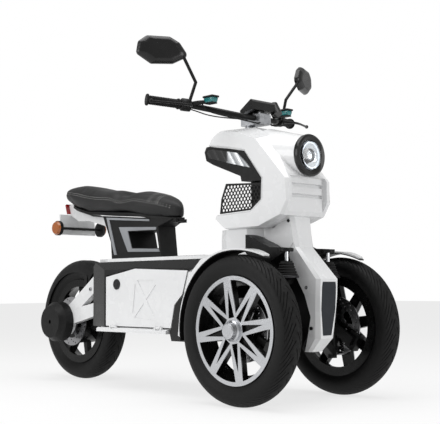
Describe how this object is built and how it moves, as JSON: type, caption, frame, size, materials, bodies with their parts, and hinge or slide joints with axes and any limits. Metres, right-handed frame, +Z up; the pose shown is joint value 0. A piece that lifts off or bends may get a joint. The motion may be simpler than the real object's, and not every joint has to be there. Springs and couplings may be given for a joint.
{
  "type": "three-wheeled electric scooter",
  "caption": "Sit-down electric scooter with two steered front wheels, a hub-driven rear wheel, swing-down battery doors and a tip-up seat",
  "frame": {"origin": "on the ground, midway between the front and rear axles, in the plane of symmetry", "axes": "+X forward, +Y to the rider's left, +Z up"},
  "size_m": [1.7913, 0.9404, 1.3122],
  "materials": {
    "tyre": "matte",
    "black_wheel": "satin",
    "machined_alloy": "machined",
    "disc_steel": "brushed",
    "black_metal": "satin",
    "black_rubber": "matte",
    "white_paint": "gloss",
    "black_gloss": "gloss",
    "black_plastic": "satin",
    "clear_glass": "clear",
    "silver_trim": "satin",
    "silver_metal": "satin",
    "black_leather": "satin",
    "red_lens": "gloss",
    "amber_lens": "gloss",
    "mirror_glass": "polished"
  },
  "bodies": {
    "chassis": {"battery_case": "black_plastic", "side_frames": "black_gloss", "batteries": "black_plastic", "sills": "white_paint", "deck": "white_paint", "front_frame": "black_metal", "front_column": "white_paint", "head_shell": "white_paint", "head_core": "black_plastic", "side_lamps": "clear_glass", "head_grilles": "black_plastic", "headlamp_bezel": "black_gloss", "headlamp_lens": "clear_glass", "nose_beam": "white_paint", "nose_inlay": "black_gloss", "front_fenders": "white_paint", "fender_liners": "black_plastic", "suspension_arms": "black_metal", "shock_absorbers": "black_rubber", "shock_towers": "black_metal", "seat_pedestal": "black_plastic", "pedestal_trims": "silver_trim", "swing_arm": "white_paint", "axle_covers": "black_plastic", "rear_hugger": "black_plastic", "tail_unit": "white_paint", "tail_lamp": "red_lens", "signal_bar": "black_plastic", "signal_lenses": "amber_lens"},
    "steering_bar": {"handlebar": "black_metal", "bar_clamp": "silver_metal", "grips": "black_rubber", "switchgear": "black_plastic", "brake_levers": "black_metal", "fluid_reservoirs": "black_plastic", "mirror_stems": "black_metal", "mirror_heads": "black_gloss", "mirror_glass": "mirror_glass", "display": "black_gloss"},
    "pitman": {"pitman_arm": "black_metal"},
    "tie_rod_r": {"tie_rod_right": "black_metal"},
    "tie_rod_l": {"tie_rod_left": "black_metal"},
    "upright_r": {"knuckle_right": "black_metal"},
    "upright_l": {"knuckle_left": "black_metal"},
    "front_wheel_r": {"front_tyre_right": "tyre", "front_rim_right": "black_wheel", "front_rim_face_right": "machined_alloy", "front_disc_right": "disc_steel"},
    "front_wheel_l": {"front_tyre_left": "tyre", "front_rim_left": "black_wheel", "front_rim_face_left": "machined_alloy", "front_disc_left": "disc_steel"},
    "rear_wheel": {"rear_tyre": "tyre", "rear_rim": "black_wheel", "rear_disc": "disc_steel"},
    "seat_lid": {"seat": "black_leather", "seat_pan": "black_plastic"},
    "door_r": {"door_right": "white_paint"},
    "door_l": {"door_left": "white_paint"}
  },
  "joints": [
    {"name": "handlebar_steer", "type": "hinge", "parent": "chassis", "child": "steering_bar", "pos_m": [0.43, 0, 1], "axis": [-0.4226, 0, 0.9063], "range_deg": [-30, 30]},
    {"name": "pitman_turn", "type": "hinge", "parent": "chassis", "child": "pitman", "pos_m": [0.63, 0, 0.24], "axis": [0, 0, 1], "range_deg": [-30, 30]},
    {"name": "wheel_steer_right", "type": "hinge", "parent": "chassis", "child": "upright_r", "pos_m": [0.63, -0.225, 0.258], "axis": [0, 0, 1], "range_deg": [-30, 30]},
    {"name": "wheel_steer_left", "type": "hinge", "parent": "chassis", "child": "upright_l", "pos_m": [0.63, 0.225, 0.258], "axis": [0, 0, 1], "range_deg": [-30, 30]},
    {"name": "tie_rod_pivot_right", "type": "hinge", "parent": "pitman", "child": "tie_rod_r", "pos_m": [0.54, 0, 0.206], "axis": [0, 0, 1], "range_deg": [-30, 30]},
    {"name": "tie_rod_pivot_left", "type": "hinge", "parent": "pitman", "child": "tie_rod_l", "pos_m": [0.54, 0, 0.219], "axis": [0, 0, 1], "range_deg": [-30, 30]},
    {"name": "front_wheel_right_spin", "type": "hinge", "parent": "upright_r", "child": "front_wheel_r", "pos_m": [0.63, -0.268, 0.258], "axis": [0, 1, 0], "continuous": true},
    {"name": "front_wheel_left_spin", "type": "hinge", "parent": "upright_l", "child": "front_wheel_l", "pos_m": [0.63, 0.268, 0.258], "axis": [0, 1, 0], "continuous": true},
    {"name": "rear_wheel_spin", "type": "hinge", "parent": "chassis", "child": "rear_wheel", "pos_m": [-0.63, 0, 0.258], "axis": [0, 1, 0], "continuous": true},
    {"name": "seat_tip", "type": "hinge", "parent": "chassis", "child": "seat_lid", "pos_m": [0.022, 0, 0.68], "axis": [0, 1, 0], "range_deg": [0, 50]},
    {"name": "door_right_open", "type": "hinge", "parent": "chassis", "child": "door_r", "pos_m": [0, -0.211, 0.2505], "axis": [1, 0, 0], "range_deg": [0, 90]},
    {"name": "door_left_open", "type": "hinge", "parent": "chassis", "child": "door_l", "pos_m": [0, 0.211, 0.2505], "axis": [-1, 0, 0], "range_deg": [0, 90]}
  ],
  "couplings": [
    {"joint": "pitman_turn", "follows": "handlebar_steer", "ratio": 1},
    {"joint": "wheel_steer_right", "follows": "handlebar_steer", "ratio": 1},
    {"joint": "wheel_steer_left", "follows": "handlebar_steer", "ratio": 1},
    {"joint": "tie_rod_pivot_right", "follows": "handlebar_steer", "ratio": -1},
    {"joint": "tie_rod_pivot_left", "follows": "handlebar_steer", "ratio": -1}
  ]
}
